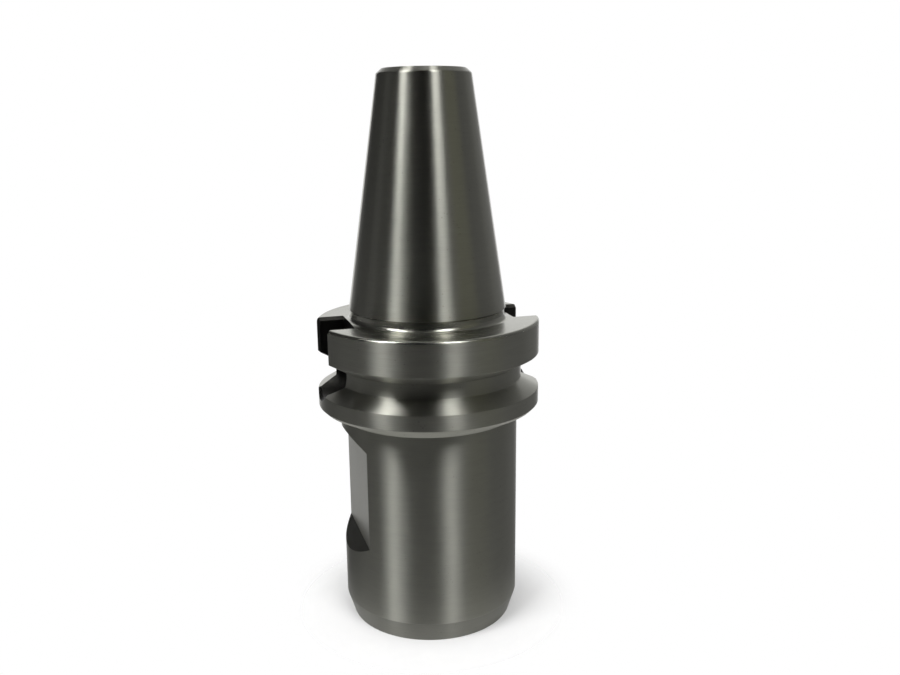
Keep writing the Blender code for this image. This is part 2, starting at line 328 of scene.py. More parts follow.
def make_smears():
    """Broad soft patches of thin oil, from 0 to 1."""
    group, source, sink = new_group(
        "smears",
        [("Vector", "NodeSocketVector", None), ("Scale", "NodeSocketFloat", 60.0)],
        [("Mask", "NodeSocketFloat")])
    stretch = group.nodes.new("ShaderNodeVectorMath")
    stretch.operation = "MULTIPLY"
    stretch.inputs[1].default_value = (1.0, 1.0, 0.35)
    group.links.new(source.outputs["Vector"], stretch.inputs[0])
    node = group.nodes.new("ShaderNodeTexNoise")
    node.inputs["Detail"].default_value = 4.0
    node.inputs["Roughness"].default_value = 0.62
    node.inputs["Distortion"].default_value = 0.8
    group.links.new(stretch.outputs[0], node.inputs["Vector"])
    group.links.new(source.outputs["Scale"], node.inputs["Scale"])
    group.links.new(ease(group, node.outputs[0], 0.35, 0.7), sink.inputs["Mask"])
    return group


SPECKS = make_specks()
SMEARS = make_smears()
print("groups", SPECKS.name, SMEARS.name)


# %% [markdown]
# ## Steel finishes
#
# The holder is one kind of hardened steel with many finishes. The taper and the flange's rings are
# ground bright, the nose is ground to a satin, and the groove, the faces, the collar and the
# nose's chamfer are turned. The flat, its ramps and the drive slots are milled, and the holes are
# bored or tapped. One function makes them all: the roughness, the depth of the marks and the specks
# tell most of them apart. The slots have a near-black colour of their own. The ramps and the nose's
# chamfer have darker colours, which are painted shade, and the collar a paler one, which is a
# painted reflection.

# %% Steel material
def place_group(tree, group, **values):
    """Place a node group and set its inputs."""
    node = tree.nodes.new("ShaderNodeGroup")
    node.node_tree = group
    for label, value in values.items():
        socket = node.inputs[label.replace("_", " ")]
        if isinstance(value, bpy.types.NodeSocket):
            tree.links.new(value, socket)
        else:
            socket.default_value = value
    return node


def make_steel(name, colour, roughness, stretch, lines, mark_depth, contrast, specks, smears=0.04):
    """One finish of the steel; stretch draws its highlights out across the turning marks."""
    material = bpy.data.materials.new(name)
    material.use_nodes = True
    tree = material.node_tree
    shader = tree.nodes["Principled BSDF"]
    shader.inputs["Metallic"].default_value = 1.0
    shader.inputs["Anisotropic"].default_value = stretch
    shader.inputs["Anisotropic Rotation"].default_value = 0.25
    place = tree.nodes.new("ShaderNodeTexCoord").outputs["Object"]
    marks = place_group(tree, TURNING_MARKS, Vector=place, Lines_per_Metre=lines)
    pits = place_group(tree, SPECKS, Vector=place, Amount=specks)
    oil = place_group(tree, SMEARS, Vector=place)

    tone = tree.nodes.new("ShaderNodeMix")
    tone.data_type = "RGBA"
    tone.inputs["A"].default_value = (*[value * (1.0 - contrast) for value in colour], 1.0)
    tone.inputs["B"].default_value = (*[value * (1.0 + contrast) for value in colour], 1.0)
    blend = math_node(tree, "ADD", math_node(tree, "MULTIPLY", marks.outputs["Fine"], 0.6),
                      math_node(tree, "MULTIPLY", marks.outputs["Broad"], 0.4))
    tree.links.new(ease(tree, blend, 0.3, 0.7), tone.inputs["Factor"])
    dirty = tree.nodes.new("ShaderNodeMix")
    dirty.data_type = "RGBA"
    dirty.inputs["B"].default_value = (0.02, 0.018, 0.015, 1.0)
    tree.links.new(tone.outputs["Result"], dirty.inputs["A"])
    tree.links.new(pits.outputs["Mask"], dirty.inputs["Factor"])
    tree.links.new(dirty.outputs["Result"], shader.inputs["Base Color"])

    worn = math_node(tree, "MULTIPLY", oil.outputs["Mask"], smears)
    ground = ease(tree, blend, 0.3, 0.7, roughness - 0.02, roughness + 0.02)
    rough = math_node(tree, "ADD", ground, worn)
    tree.links.new(rough, shader.inputs["Roughness"])

    bump = tree.nodes.new("ShaderNodeBump")
    bump.inputs["Strength"].default_value = 1.0
    bump.inputs["Distance"].default_value = mark_depth
    tree.links.new(blend, bump.inputs["Height"])
    tree.links.new(bump.outputs["Normal"], shader.inputs["Normal"])
    if stretch:
        tangent = tree.nodes.new("ShaderNodeTangent")
        tangent.direction_type = "RADIAL"
        tangent.axis = "Z"
        tree.links.new(tangent.outputs[0], shader.inputs["Tangent"])
    return material


# Colours, and then for each finish: name, colour, roughness, stretch, lines per metre, depth of the
# marks in metres, contrast and specks.
STEEL = (0.36, 0.359, 0.318)
SLOT_COLOUR = (0.04, 0.039, 0.036)
# The nose chamfer's darker colour is painted shade, for the dim shadowed floor that the chamfer
# mirrors.
CHAMFER_PAINTED_SHADE = (0.22, 0.219, 0.195)
# The ramps' darker colour is painted shade, for the shadow the ramps stand in.
RAMP_PAINTED_SHADE = (0.13, 0.129, 0.113)
# The collar's paler colour is a painted reflection, for brighter surroundings that the collar mirrors.
COLLAR_PAINTED_REFLECTION = (0.49, 0.488, 0.435)
TAPPED_COLOUR = (0.2, 0.195, 0.18)
TAPER_STEEL = make_steel("taper_ground", STEEL, 0.29, 1.0, 9000.0, 6e-7, 0.04, 0.2)
RIM_STEEL = make_steel("flange_rim_ground", STEEL, 0.34, 1.0, 7000.0, 6e-7, 0.06, 0.25)
GROOVE_STEEL = make_steel("groove_turned", STEEL, 0.33, 1.0, 6000.0, 8e-7, 0.04, 0.2)
FACE_STEEL = make_steel("faces_turned_bright", STEEL, 0.25, 0.6, 9000.0, 2e-8, 0.01, 0.1, smears=0.0)
NOSE_STEEL = make_steel("nose_satin_ground", STEEL, 0.39, 1.0, 5000.0, 1e-6, 0.05, 0.15)
CHAMFER_STEEL_PAINTED_SHADE = make_steel("nose_chamfer_turned_painted_shade", CHAMFER_PAINTED_SHADE, 0.36, 1.0, 5000.0, 1e-6, 0.05, 0.3)
BORED_STEEL = make_steel("bored", STEEL, 0.3, 0.7, 3000.0, 3e-6, 0.08, 0.3)
MILLED_STEEL = make_steel("milled_flat", STEEL, 0.34, 0.0, 1500.0, 2e-6, 0.06, 0.3)
RAMP_STEEL_PAINTED_SHADE = make_steel("milled_ramp_painted_shade", RAMP_PAINTED_SHADE, 0.4, 0.0, 1500.0, 1e-6, 0.06, 0.3)
COLLAR_STEEL_PAINTED_REFLECTION = make_steel("collar_turned_painted_reflection", COLLAR_PAINTED_REFLECTION, 0.5, 0.3, 3000.0, 1e-6, 0.08, 0.3)
SLOT_STEEL = make_steel("milled_slot", SLOT_COLOUR, 0.4, 0.0, 1500.0, 1e-6, 0.06, 0.3)
TAPPED_STEEL = make_steel("tapped", TAPPED_COLOUR, 0.36, 0.0, 4000.0, 2e-6, 0.08, 0.4)
print("steels", [material.name for material in bpy.data.materials])

# %% [markdown]
# ## Holder
#
# The holder is turned from one bar, so its whole outside and the holes in its axis are one
# outline. Radii and heights are those of the standard 40 taper, from the frame's own box.
# Every turned edge on the real part is broken a little, which is what makes it catch the light,
# so each corner of the outline is rounded before the spin.

# %% Sizes of the turned outline
GAUGE_RADIUS = 0.022225
TAPER_LENGTH = 0.0654
GAUGE_Z = TOP_Z - TAPER_LENGTH
FLANGE_TOP_Z = GAUGE_Z - 0.002
FLANGE_BOTTOM_Z = FLANGE_TOP_Z - 0.025
GROOVE_Z = GAUGE_Z - 0.0166
GROOVE_HALF_WIDTH = 0.005
GROOVE_DEPTH = 0.005
GROOVE_HALF_FLOOR = GROOVE_HALF_WIDTH - GROOVE_DEPTH * math.tan(math.radians(30.0))
NOSE_RADIUS = 0.0254
BORE_RADIUS = 0.0127
BORE_DEPTH = 0.064
COOLANT_RADIUS = 0.006
THREAD_RADIUS = 0.008
DRILL_SLOPE = math.tan(math.radians(31.0))
STUD_HOLE_END = TOP_Z - 0.034
STUD_PILOT_END = TOP_Z - 0.005
SMALL_CHAMFER = 0.0013
RIM_CHAMFER = 0.0011
COLLAR_STEP = 0.001
COLLAR_SLOPE = 0.0015
NOSE_CHAMFER_LENGTH = 0.006
NOSE_CHAMFER_DEPTH = 0.0019
NECK_HEIGHT = 0.001
NECK_DEPTH = 0.0004
EDGE = 0.00018
BODY_STEPS = 240


def taper_radius(height):
    """Radius of the 7:24 taper at a height."""
    return GAUGE_RADIUS - (height - GAUGE_Z) * 7.0 / 48.0


neck_top = GAUGE_Z + NECK_HEIGHT
neck_radius = taper_radius(neck_top) - NECK_DEPTH
small_edge = TOP_Z - SMALL_CHAMFER
collar_end = FLANGE_BOTTOM_Z - RIM_CHAMFER
outside = [
    (taper_radius(TOP_Z) - SMALL_CHAMFER, TOP_Z, EDGE),
    (taper_radius(small_edge), small_edge, 0.0006),
    (taper_radius(neck_top), neck_top, EDGE),
    (neck_radius, neck_top - NECK_DEPTH, EDGE),
    (neck_radius, FLANGE_TOP_Z, 0.0015),
    (FLANGE_RADIUS, FLANGE_TOP_Z, 0.001),
    (FLANGE_RADIUS, GROOVE_Z + GROOVE_HALF_WIDTH, EDGE),
    (FLANGE_RADIUS - GROOVE_DEPTH, GROOVE_Z + GROOVE_HALF_FLOOR, 0.0003),
    (FLANGE_RADIUS - GROOVE_DEPTH, GROOVE_Z - GROOVE_HALF_FLOOR, 0.0003),
    (FLANGE_RADIUS, GROOVE_Z - GROOVE_HALF_WIDTH, EDGE),
    (FLANGE_RADIUS, FLANGE_BOTTOM_Z + RIM_CHAMFER, EDGE),
    (FLANGE_RADIUS - RIM_CHAMFER, FLANGE_BOTTOM_Z, EDGE),
    (NOSE_RADIUS + COLLAR_STEP, FLANGE_BOTTOM_Z, EDGE),
    (NOSE_RADIUS + COLLAR_STEP, collar_end, EDGE),
    (NOSE_RADIUS, collar_end - COLLAR_SLOPE, EDGE),
    (NOSE_RADIUS, NOSE_CHAMFER_LENGTH, 0.0004),
    (NOSE_RADIUS - NOSE_CHAMFER_DEPTH, 0.0, EDGE),
]
inside = [
    (BORE_RADIUS + 0.001, 0.0, EDGE),
    (BORE_RADIUS, 0.001, EDGE),
    (BORE_RADIUS, BORE_DEPTH, EDGE),
    (COOLANT_RADIUS, BORE_DEPTH + (BORE_RADIUS - COOLANT_RADIUS) * DRILL_SLOPE, EDGE),
    (COOLANT_RADIUS, STUD_HOLE_END - 0.001 * DRILL_SLOPE, EDGE),
    (0.007, STUD_HOLE_END, EDGE),
    (0.007, STUD_PILOT_END - 0.0015, EDGE),
    (THREAD_RADIUS + 0.0005, STUD_PILOT_END, EDGE),
    (THREAD_RADIUS + 0.0005, TOP_Z - 0.0008, EDGE),
    (THREAD_RADIUS + 0.0013, TOP_Z, EDGE),
]

# %% Draw, round and spin the blank
corners = [(radius, height) for radius, height, edge in outside + inside]
holder = draw_outline("holder", corners, closed=True)
for index, (radius, height, edge) in enumerate(outside + inside):
    round_corner(holder, corners, index, edge, 6 if edge > 0.0005 else 3)


def on_nose_side(place):
    """True for both ends of the nose's long straight side."""
    return abs(place.x - NOSE_RADIUS) < SAME_PLACE and place.z < FLANGE_BOTTOM_Z


pick(holder, "EDGE", on_nose_side)
bpy.ops.mesh.subdivide(number_cuts=40)
spin_outline(holder, BODY_STEPS)
print("blank", len(holder.data.polygons), "faces")


# %% Give the turned faces their finish
def finish_of(place):
    """The finish of a turned face, by where its middle is."""
    radius = math.hypot(place.x, place.y)
    at_small_end = place.z > TOP_Z - SAME_PLACE
    if neck_top - 0.0002 < place.z and radius > taper_radius(place.z) - 0.0012 and not at_small_end:
        return TAPER_STEEL
    if radius > FLANGE_RADIUS - 0.00005:
        return RIM_STEEL
    if abs(radius - NOSE_RADIUS) < 0.0001 and place.z < collar_end:
        return NOSE_STEEL
    if collar_end - COLLAR_SLOPE < place.z < FLANGE_BOTTOM_Z + 0.0012 and radius > NOSE_RADIUS:
        return COLLAR_STEEL_PAINTED_REFLECTION
    if place.z < 0.0059 and radius > NOSE_RADIUS - NOSE_CHAMFER_DEPTH:
        return CHAMFER_STEEL_PAINTED_SHADE
    if abs(place.z - GROOVE_Z) < GROOVE_HALF_WIDTH and radius > FLANGE_RADIUS - 0.0055:
        return GROOVE_STEEL
    if radius > BORE_RADIUS + 0.0012 or at_small_end:
        return FACE_STEEL
    return BORED_STEEL


FINISHES = [TAPER_STEEL, RIM_STEEL, GROOVE_STEEL, NOSE_STEEL,
            CHAMFER_STEEL_PAINTED_SHADE, COLLAR_STEEL_PAINTED_REFLECTION, FACE_STEEL, BORED_STEEL]
for material in FINISHES:
    holder.data.materials.append(material)
for face in holder.data.polygons:
    face.material_index = FINISHES.index(finish_of(face.center))
print("turned finishes", len(FINISHES))

# %% [markdown]
# ## Drive slots
#
# Two keys on the spindle's nose drive the holder through these slots. An end mill cuts each one
# from the side, so it has a flat floor, straight walls and a round lower end, and its edges are
# chamfered along the flange's curved rim.
# The cutter's first section is drawn point by point, with a round lower end and walls that lean
# out above the face. It is then extruded outwards to three more sections, each of whose points is
# put in its place, because the rim is curved. The last two are wider, for the chamfer.

# %% Slot cutter
SLOT_HALF = 0.00805
SLOT_CHAMFER = 0.0009
SLOT_FLOOR = 0.0226
SLOT_END = GROOVE_Z - GROOVE_HALF_WIDTH - 0.0012
SLOT_ARC_STEPS = 48
RUN_OUT = 0.003


def rim(y):
    """Distance of the flange's rim from the YZ plane, level beyond the slot's mouth."""
    mouth = SLOT_HALF + 2.0 * SLOT_CHAMFER
    return math.sqrt(FLANGE_RADIUS ** 2 - min(abs(y), mouth) ** 2)


def slot_section(grow, place_x):
    """One section of the slot, grown outwards: walls that lean out above the face, and a round end."""
    reach = SLOT_HALF + grow
    lean_z = FLANGE_TOP_Z - SLOT_CHAMFER - grow * (math.sqrt(2.0) - 1.0)
    open_z = GAUGE_Z + RUN_OUT
    open_y = reach + open_z - lean_z
    points = [(-open_y, open_z), (-reach, lean_z)]
    for step in range(SLOT_ARC_STEPS + 1):
        angle = math.pi * (1.0 + step / SLOT_ARC_STEPS)
        points.append((reach * math.cos(angle), SLOT_END + SLOT_HALF + reach * math.sin(angle)))
    points += [(reach, lean_z), (open_y, open_z)]
    return [Vector((place_x(y), y, z)) for y, z in points]


def loft(name, sections):
    """Draw the first section, fill it, and extrude it from section to section."""
    deselect()
    bpy.ops.mesh.primitive_plane_add(size=0.001)
    piece = bpy.context.object
    piece.name = piece.data.name = name
    bpy.ops.object.mode_set(mode="EDIT")
    bpy.ops.mesh.merge(type="CENTER")
    bpy.ops.transform.translate(value=sections[0][0])
    for start, end in zip(sections[0], sections[0][1:]):
        bpy.ops.mesh.extrude_vertices_move(TRANSFORM_OT_translate={"value": end - start})
    bpy.ops.mesh.select_all(action="SELECT")
    bpy.ops.mesh.edge_face_add()
    for near, far in zip(sections, sections[1:]):
        bpy.ops.mesh.extrude_region_move()
        shape = bmesh.from_edit_mesh(piece.data)
        for vertex in (vertex for vertex in shape.verts if vertex.select):
            nearest = min(range(len(near)), key=lambda index: (vertex.co - near[index]).length)
            vertex.co = far[nearest]
        bmesh.update_edit_mesh(piece.data)
    bpy.ops.mesh.select_all(action="SELECT")
    bpy.ops.mesh.normals_make_consistent(inside=False)
    bpy.ops.object.mode_set(mode="OBJECT")
    return piece


for side, turn in (("right", 0.0), ("left", math.pi)):
    cutter = loft(side + " slot cutter", [
        slot_section(0.0, lambda y: SLOT_FLOOR),
        slot_section(0.0, lambda y: rim(y) - SLOT_CHAMFER),
        slot_section(2.0 * SLOT_CHAMFER, lambda y: rim(y) + SLOT_CHAMFER),
        slot_section(2.0 * SLOT_CHAMFER, lambda y: FLANGE_RADIUS + RUN_OUT),
    ])
    cutter.rotation_euler.z = turn
    apply_place(cutter)
    cutter.data.materials.append(SLOT_STEEL)
    cut_out(holder, cutter)

# %% [markdown]
# ## Balance flat
#
# The set screw holes make one side of the nose lighter, so the other side is milled flat to
# balance it at speed. The cut ends in a 45 degree ramp at each end.
# Its cutter is a cube whose outer face is made longer, which leans both ends by 45 degrees.
# The ramps get a finish of their own: rougher than the flat, with a darker colour that is painted
# shade.

# %% Flat cutter
FLAT_DEPTH = 0.00385
FLAT_TOP = FLANGE_BOTTOM_Z - 0.00535
FLAT_BOTTOM = 0.0218
flat_x = NOSE_RADIUS - FLAT_DEPTH
cut_depth = FLAT_DEPTH + RUN_OUT
floor_length = FLAT_TOP - FLAT_BOTTOM - 2.0 * FLAT_DEPTH
deselect()
bpy.ops.mesh.primitive_cube_add(
    size=1.0,
    location=(-flat_x - cut_depth / 2.0, 0.0, (FLAT_TOP + FLAT_BOTTOM) / 2.0),
    scale=(cut_depth, 2.0 * NOSE_RADIUS, floor_length))
cutter = bpy.context.object
cutter.name = "flat cutter"
apply_place(cutter)
bpy.ops.object.mode_set(mode="EDIT")
pick(cutter, "FACE", lambda place: place.x < -NOSE_RADIUS)
bpy.ops.transform.resize(value=(1.0, 1.0, (floor_length + 2.0 * cut_depth) / floor_length))
bpy.ops.object.mode_set(mode="OBJECT")
cutter.data.materials.append(MILLED_STEEL)
# The ramp faces get the ramp finish, whose darker colour is painted shade.
cutter.data.materials.append(RAMP_STEEL_PAINTED_SHADE)
for face in cutter.data.polygons:
    face.material_index = 1 if abs(face.normal.z) > 0.5 else 0
cut_out(holder, cutter)

# %% [markdown]
# ## Threads
#
# A thread is one groove that climbs round and round, so it can't be a stack of rings.
# Here a finely divided cylinder is shaped by a formula: each vertex moves in or out by its height
# and its angle, which gives a true helix with flat crests and roots.
# The same helper makes the taps that cut the holes and the screws that go into them.

# %% Threaded rod
def thread_fall(height, turn, pitch):
    """How far down the flank a place is: 0 on the thread's crest and 1 at its root."""
    from_crest = abs((height / pitch - turn) % 1.0 - 0.5) * 2.0
    return min(max((from_crest - 0.125) / 0.625, 0.0), 1.0)


def threaded_rod(name, crest, root, pitch, length, limit, segments=72, rows=10):
    """A rod along +Z from the origin with a helical thread; limit gives the radii it stays between."""
    deselect()
    bpy.ops.mesh.primitive_cylinder_add(
        vertices=segments, radius=crest, depth=length, location=(0.0, 0.0, length / 2.0))
    rod = bpy.context.object
    rod.name = rod.data.name = name
    apply_place(rod)
    bpy.ops.object.mode_set(mode="EDIT")
    bpy.ops.mesh.select_mode(type="EDGE")
    bpy.ops.mesh.select_all(action="DESELECT")
    shape = bmesh.from_edit_mesh(rod.data)
    for edge in shape.edges:
        edge.select_set(abs(edge.verts[0].co.z - edge.verts[1].co.z) > length / 2.0)
    bmesh.update_edit_mesh(rod.data)
    bpy.ops.mesh.subdivide(number_cuts=round(length / pitch * rows))
    bpy.ops.object.mode_set(mode="OBJECT")
    for vertex in rod.data.vertices:
        height = vertex.co.z
        turn = math.atan2(vertex.co.y, vertex.co.x) / (2.0 * math.pi)
        radius = crest - (crest - root) * thread_fall(height, turn, pitch)
        low, high = limit(height)
        radius = min(max(radius, low), high)
        flat = vertex.co.xy.normalized() * radius
        vertex.co.x, vertex.co.y = flat
    return rod


def lay_across(piece, height, reach):
    """Lay a rod made along +Z along +X instead, at a height, from a reach outwards."""
    piece.rotation_euler.y = math.radians(90.0)
    piece.location = (reach, 0.0, height)
    apply_place(piece)


# %% Tap the set screw holes
SCREW_PITCH = 0.0254 / 16.0
HOLE_RADIUS = 0.0096
HOLE_CREST = 0.00935
MOUTH = NOSE_RADIUS - 0.001
for name, (low, high) in SCREW_BOXES.items():
    tap = threaded_rod(
        name + " tap", HOLE_RADIUS, HOLE_CREST, SCREW_PITCH, NOSE_RADIUS + RUN_OUT,
        lambda height: (max(0.0, HOLE_RADIUS + height - MOUTH) if height > MOUTH else 0.0, 1.0))
    lay_across(tap, (low.z + high.z) / 2.0, 0.0)
    tap.data.materials.append(TAPPED_STEEL)
    cut_out(holder, tap)

# %% Tap the pull stud's hole
STUD_PITCH = 0.002
stud_length = STUD_PILOT_END - STUD_HOLE_END - 0.0005
tap = threaded_rod(
    "stud tap", THREAD_RADIUS, 0.0069, STUD_PITCH, stud_length,
    lambda height: (0.0, 0.0069 + height))
tap.location.z = STUD_HOLE_END + 0.0005
apply_place(tap)
tap.data.materials.append(TAPPED_STEEL)
cut_out(holder, tap)

# %% Finish the holder
shade(holder, 30.0)
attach(holder, "holder")
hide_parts("holder_body")
triangles = sum(len(face.vertices) - 2 for face in holder.data.polygons)
print("holder", triangles, "triangles")

# %% [markdown]
# ## Set screws
#
# Each screw is a short threaded plug with a flat tip, which presses on the cutter's flat, and a
# hexagon socket for its key. It is the same threaded rod as the taps, with chamfered ends.
# The socket is cut by a six-sided cylinder, and a cone breaks its mouth.

# %% Black oxide
def make_black_oxide(name, axis_height):
    """Black oxide on steel, rubbed bright on the thread's crests, for a screw at a height."""
    material = bpy.data.materials.new(name)
    material.use_nodes = True
    tree = material.node_tree
    shader = tree.nodes["Principled BSDF"]
    shader.inputs["Metallic"].default_value = 1.0
    place = tree.nodes.new("ShaderNodeTexCoord").outputs["Object"]
    centred = tree.nodes.new("ShaderNodeMapping")
    centred.inputs["Location"].default_value = (0.0, 0.0, -axis_height)
    tree.links.new(place, centred.inputs["Vector"])
    split = tree.nodes.new("ShaderNodeSeparateXYZ")
    tree.links.new(centred.outputs[0], split.inputs[0])
    squares = math_node(tree, "ADD",
                        math_node(tree, "MULTIPLY", split.outputs[1], split.outputs[1]),
                        math_node(tree, "MULTIPLY", split.outputs[2], split.outputs[2]))
    radius = math_node(tree, "SQRT", squares)
    crest = ease(tree, radius, 0.00915, 0.0093)
    broken = ease(tree, noise(tree, place, 700.0, detail=4.0), 0.42, 0.6)
    wear = math_node(tree, "MULTIPLY", math_node(tree, "MULTIPLY", crest, broken), 0.7)
    pits = place_group(tree, SPECKS, Vector=place, Amount=0.6)
    oil = place_group(tree, SMEARS, Vector=place, Scale=150.0)
    coat = tree.nodes.new("ShaderNodeMix")
    coat.data_type = "RGBA"
    coat.inputs["A"].default_value = (0.05, 0.05, 0.055, 1.0)
    coat.inputs["B"].default_value = (0.03, 0.03, 0.036, 1.0)
    tree.links.new(oil.outputs["Mask"], coat.inputs["Factor"])
    rubbed = tree.nodes.new("ShaderNodeMix")
    rubbed.data_type = "RGBA"
    rubbed.inputs["B"].default_value = (0.3, 0.295, 0.28, 1.0)
    tree.links.new(coat.outputs["Result"], rubbed.inputs["A"])
    tree.links.new(wear, rubbed.inputs["Factor"])
    tree.links.new(rubbed.outputs["Result"], shader.inputs["Base Color"])
    rough = math_node(tree, "ADD", ease(tree, oil.outputs["Mask"], 0.0, 1.0, 0.4, 0.3),
                      math_node(tree, "MULTIPLY", pits.outputs["Mask"], 0.2))
    tree.links.new(rough, shader.inputs["Roughness"])
    bump = tree.nodes.new("ShaderNodeBump")
    bump.inputs["Strength"].default_value = 1.0
    bump.inputs["Distance"].default_value = 0.000004
    tree.links.new(noise(tree, place, 2500.0, detail=3.0), bump.inputs["Height"])
    tree.links.new(bump.outputs["Normal"], shader.inputs["Normal"])
    return material


# %% Screws
SCREW_CREST = HOLE_RADIUS - 0.0003
SCREW_ROOT = SCREW_CREST - 0.00085
TIP_CHAMFER = 0.0016
END_CHAMFER = 0.0009
SOCKET_HALF = 0.009525 / 2.0
SOCKET_CORNER = SOCKET_HALF / math.cos(math.radians(30.0))
SOCKET_FLOOR = 0.0051


def make_screw(name, low, high):
    """One set screw, along +X in the box of its CAD solid."""
    length = high.x - low.x

    def ends(height):
        """The tip's and the outer end's chamfers limit the radius."""
        tip = SCREW_CREST - TIP_CHAMFER + height
        outer = SCREW_CREST - END_CHAMFER + (length - height)
        return 0.0, min(tip, outer, SCREW_CREST)

    screw = threaded_rod(name + "_threaded", SCREW_CREST, SCREW_ROOT, SCREW_PITCH, length, ends,
                         segments=96, rows=12)
    material = make_black_oxide(name.replace("_", " ") + " black oxide", (low.z + high.z) / 2.0)
    screw.data.materials.append(material)
    depth = length - SOCKET_FLOOR + RUN_OUT
    deselect()
    bpy.ops.mesh.primitive_cylinder_add(
        vertices=6, radius=SOCKET_CORNER, depth=depth, location=(0, 0, SOCKET_FLOOR + depth / 2.0))
    socket = bpy.context.object
    socket.name = "socket cutter"
    socket.data.materials.append(material)
    cut_out(screw, socket)
    drill = SOCKET_HALF - 0.0002
    mouth = SOCKET_CORNER + 0.0003
    corners = [
        (0.0, length + RUN_OUT),
        (mouth + RUN_OUT, length + RUN_OUT),
        (drill, length - (mouth - drill)),
        (drill, SOCKET_FLOOR - 0.0001),
        (0.0, SOCKET_FLOOR - drill * DRILL_SLOPE),
    ]
    cone = draw_outline("mouth cutter", corners, closed=False)
    spin_outline(cone, 96)
    cone.data.materials.append(material)
    cut_out(screw, cone)
    lay_across(screw, (low.z + high.z) / 2.0, low.x)
    shade(screw, 30.0)
    return screw


for name, body in (("front_set_screw", "front_screw"), ("rear_set_screw", "rear_screw")):
    low, high = SCREW_BOXES[name]
    screw = make_screw(name, low, high)
    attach(screw, body)
    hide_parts(name)
    print(name, sum(len(face.vertices) - 2 for face in screw.data.polygons), "triangles")

# %% [markdown]
# ## Floor and background
#
# The world is white to the camera, to mirrors and to glass, and weaker to everything else. The
# steel mirrors it only where the studio wall further down is open.
# The holder stands on a small disc of pale floor, which keeps its soft shadow and fades into the
# white around it.

# %% Pale floor
FLOOR_RADIUS = 0.062
FADE_START = 0.024
FADE_END = 0.048
deselect()
bpy.ops.mesh.primitive_circle_add(
    vertices=96, radius=FLOOR_RADIUS, fill_type="NGON", location=(0, 0, 0))
floor = bpy.context.object
floor.name = "pale_floor"
material = bpy.data.materials.new("pale floor")
material.use_nodes = True
tree = material.node_tree
tree.nodes.clear()
place = tree.nodes.new("ShaderNodeTexCoord").outputs["Object"]
from_middle = tree.nodes.new("ShaderNodeVectorMath")
from_middle.operation = "LENGTH"
tree.links.new(place, from_middle.inputs[0])
matt = tree.nodes.new("ShaderNodeBsdfDiffuse")
matt.inputs["Color"].default_value = (0.85, 0.85, 0.85, 1.0)
clear = tree.nodes.new("ShaderNodeBsdfTransparent")
fade = tree.nodes.new("ShaderNodeMixShader")
tree.links.new(ease(tree, from_middle.outputs["Value"], FADE_START, FADE_END), fade.inputs[0])
tree.links.new(matt.outputs[0], fade.inputs[1])
tree.links.new(clear.outputs[0], fade.inputs[2])
output = tree.nodes.new("ShaderNodeOutputMaterial")
tree.links.new(fade.outputs[0], output.inputs["Surface"])
floor.data.materials.append(material)
print("floor fades out", round((FADE_END - FADE_START) * 1000), "mm wide")

# %% White background
AROUND = 0.6     # the world's strength where it lights matt surfaces
world = bpy.data.worlds.new("white background")
bpy.context.scene.world = world
world.use_nodes = True
tree = world.node_tree
path = tree.nodes.new("ShaderNodeLightPath")
seen = math_node(tree, "MAXIMUM", path.outputs["Is Camera Ray"], path.outputs["Is Glossy Ray"])
seen = math_node(tree, "MAXIMUM", seen, path.outputs["Is Transmission Ray"])
background = tree.nodes["Background"]
background.inputs["Color"].default_value = (1.0, 1.0, 1.0, 1.0)
tree.links.new(math_node(tree, "MAXIMUM", seen, AROUND), background.inputs["Strength"])
print("world strength on matt surfaces", AROUND)

# %% [markdown]
# ## Studio
#
# Bright steel shows the room more than itself. The photograph's steel mirrors a dim studio with
# two soft boxes high up at the left and the right, above a grey table. So a wall that only shiny
# surfaces see stands round the holder and glows by direction: a colour ramp gives the walls'
# tones by bearing, and two windows by bearing and height give the soft boxes. Most of the steel's
# light comes from this wall.
# The wall is open behind the holder, so that the steel's far edges mirror the white background.

# %% Studio wall
# Tones are brightnesses, bearings are degrees from the camera's side, and up is the sine of the
# height. A box has an outer and an inner edge on each side, between which it fades.
BRIGHTEST = 0.4
OLIVE = (0.21, 0.21, 0.165)
WALL = [
    (-167, 0.17),
    (-150, 0.045),
    (-135, 0.035),
    (-120, 0.05),
    (-106, 0.055),
    (-98, 0.1),
    (-90, 0.1),
    (-80, 0.05),
    (-28, 0.05),
    (-14, 0.02),
    (-6, 0.001),
    (14, 0.001),
    (28, 0.06),
    (46, 0.2),
    (52, OLIVE),
    (72, OLIVE),
    (84, 0.14),
    (104, 0.16),
    (125, 0.25),
    (150, 0.32),
    (168, 0.25),
]
LEFT_BOX = (-71, -66, -57, -50)
RIGHT_BOX = (20, 27, 38, 48)
BOX_HEIGHTS = (0.62, 0.7, 0.9, 0.96)
LEFT_BOX_STRENGTH = 20.0
RIGHT_BOX_STRENGTH = 12.0
OPEN_FROM = 153.0     # degrees from the camera's side, to the left and the right


def ramp(tree, value, stops, low, high):
    """A Color Ramp between two values, its stops given as (value, colour or grey)."""
    node = tree.nodes.new("ShaderNodeValToRGB")
    node.color_ramp.interpolation = "EASE"
    elements = node.color_ramp.elements
    elements.remove(elements[-1])
    for index, (stop, colour) in enumerate(stops):
        element = elements[0] if index == 0 else elements.new(1.0)
        element.position = (stop - low) / (high - low)
        colour = colour if isinstance(colour, tuple) else (colour, colour, colour)
        element.color = (*[value / BRIGHTEST for value in colour], 1.0)
    span = tree.nodes.new("ShaderNodeMapRange")
    span.inputs["From Min"].default_value = low
    span.inputs["From Max"].default_value = high
    tree.links.new(value, span.inputs["Value"])
    tree.links.new(span.outputs["Result"], node.inputs[0])
    return node.outputs["Color"]


